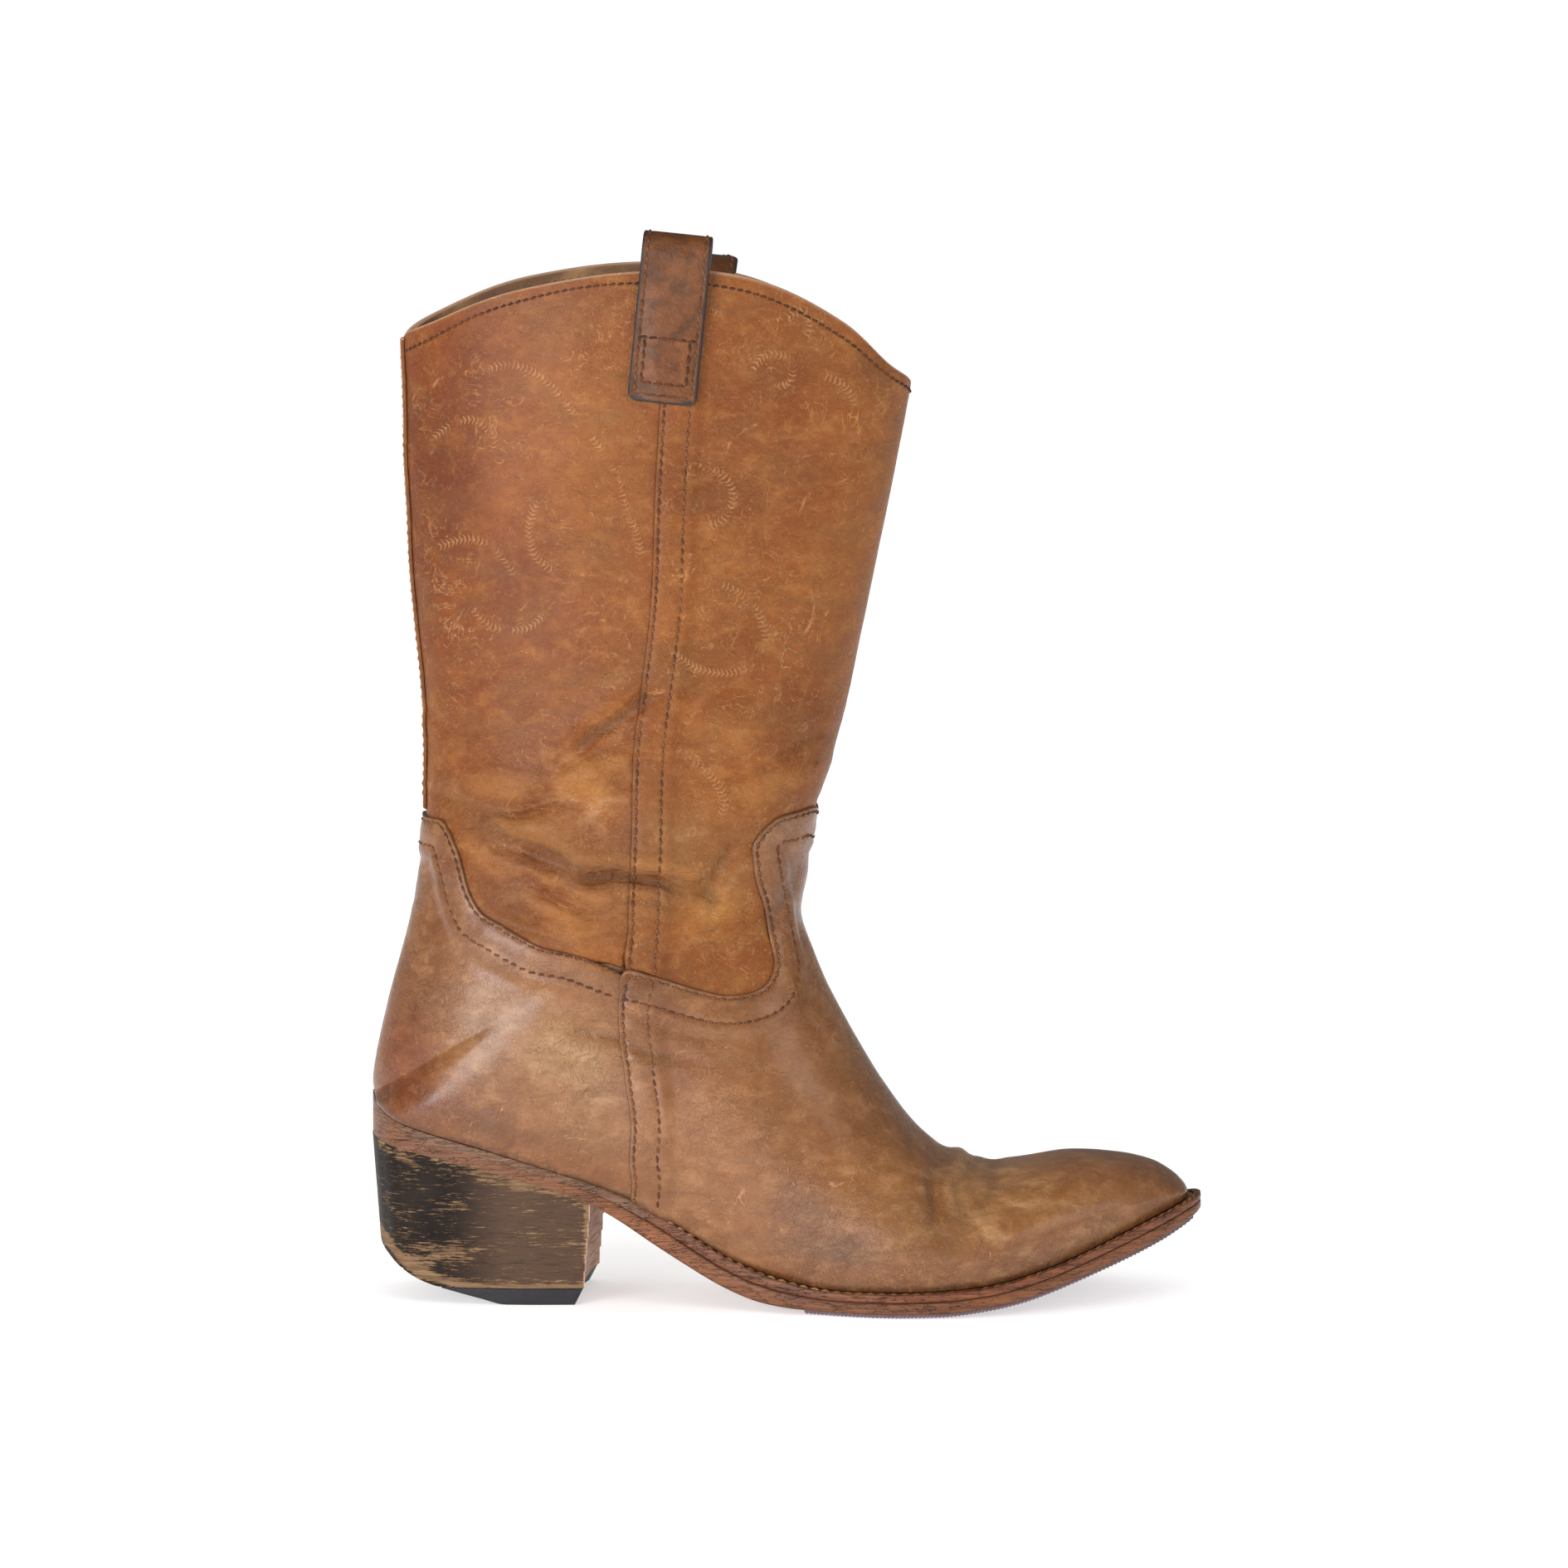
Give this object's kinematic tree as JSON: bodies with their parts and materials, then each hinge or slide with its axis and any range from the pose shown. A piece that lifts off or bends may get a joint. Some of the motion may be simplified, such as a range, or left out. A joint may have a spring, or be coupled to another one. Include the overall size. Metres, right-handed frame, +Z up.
{
  "type": "cowboy boot",
  "caption": "Right western boot with a scalloped lined shaft, pull straps, lapped vamp and counter, stitched welt, leather sole with a thin rubber half sole and a stacked block heel",
  "frame": {"origin": "On the floor, under the middle of the boot's box", "axes": "+X to the toe, +Z up the shaft, +Y to the inner (medial) side, so the outer side faces -Y"},
  "size_m": [0.2686, 0.095, 0.346],
  "materials": {
    "shaft_leather": "worn tan pull-up leather, waxed, with creases, blind tooling and darker smudges",
    "foot_leather": "worn tan leather with a pale sheen, scuffed at the toe",
    "lining_leather": "smooth undyed pigskin, slightly soiled",
    "stiffener_board": "leather board",
    "strap_leather": "red-brown strap leather with painted dark edges",
    "insole_leather": "vegetable-tanned insole leather",
    "shank_steel": "spring steel strip",
    "cork": "ground cork paste",
    "welt_leather": "pinkish brown welt leather, edge waxed",
    "sole_leather": "reddish brown sole leather with a dressed edge",
    "sole_rubber": "thin ribbed rubber half sole",
    "heel_leather": "stacked leather painted dark brown, rubbed through in places",
    "top_lift_rubber": "black rubber top piece",
    "nail_steel": "steel heel nails",
    "brown_thread": "waxed brown nylon thread",
    "tan_thread": "waxed tan thread",
    "cream_thread": "waxed cream linen thread"
  },
  "bodies": {
    "root": {"shaft_front": "shaft_leather", "shaft_back": "shaft_leather", "back_strip": "shaft_leather", "vamp": "foot_leather", "counter": "foot_leather", "shaft_lining_front": "lining_leather", "shaft_lining_back": "lining_leather", "vamp_lining": "lining_leather", "heel_lining": "lining_leather", "heel_stiffener": "stiffener_board", "toe_puff": "stiffener_board", "pull_strap_lateral": "strap_leather", "pull_strap_medial": "strap_leather", "insole": "insole_leather", "heel_sock": "lining_leather", "shank": "shank_steel", "shank_cover": "stiffener_board", "cork_filler": "cork", "welt": "welt_leather", "heel_rand": "welt_leather", "outsole": "sole_leather", "half_sole": "sole_rubber", "heel_wedge": "heel_leather", "heel_lift_1": "heel_leather", "heel_lift_2": "heel_leather", "heel_lift_3": "heel_leather", "heel_lift_4": "heel_leather", "heel_lift_5": "heel_leather", "top_lift": "top_lift_rubber", "heel_nails": "nail_steel", "thread_top_line": "brown_thread", "thread_side_seams": "tan_thread", "thread_vamp": "tan_thread", "thread_counter": "tan_thread", "thread_back_strip": "cream_thread", "thread_pull_straps": "brown_thread", "thread_welt": "cream_thread"}
  },
  "joints": []
}
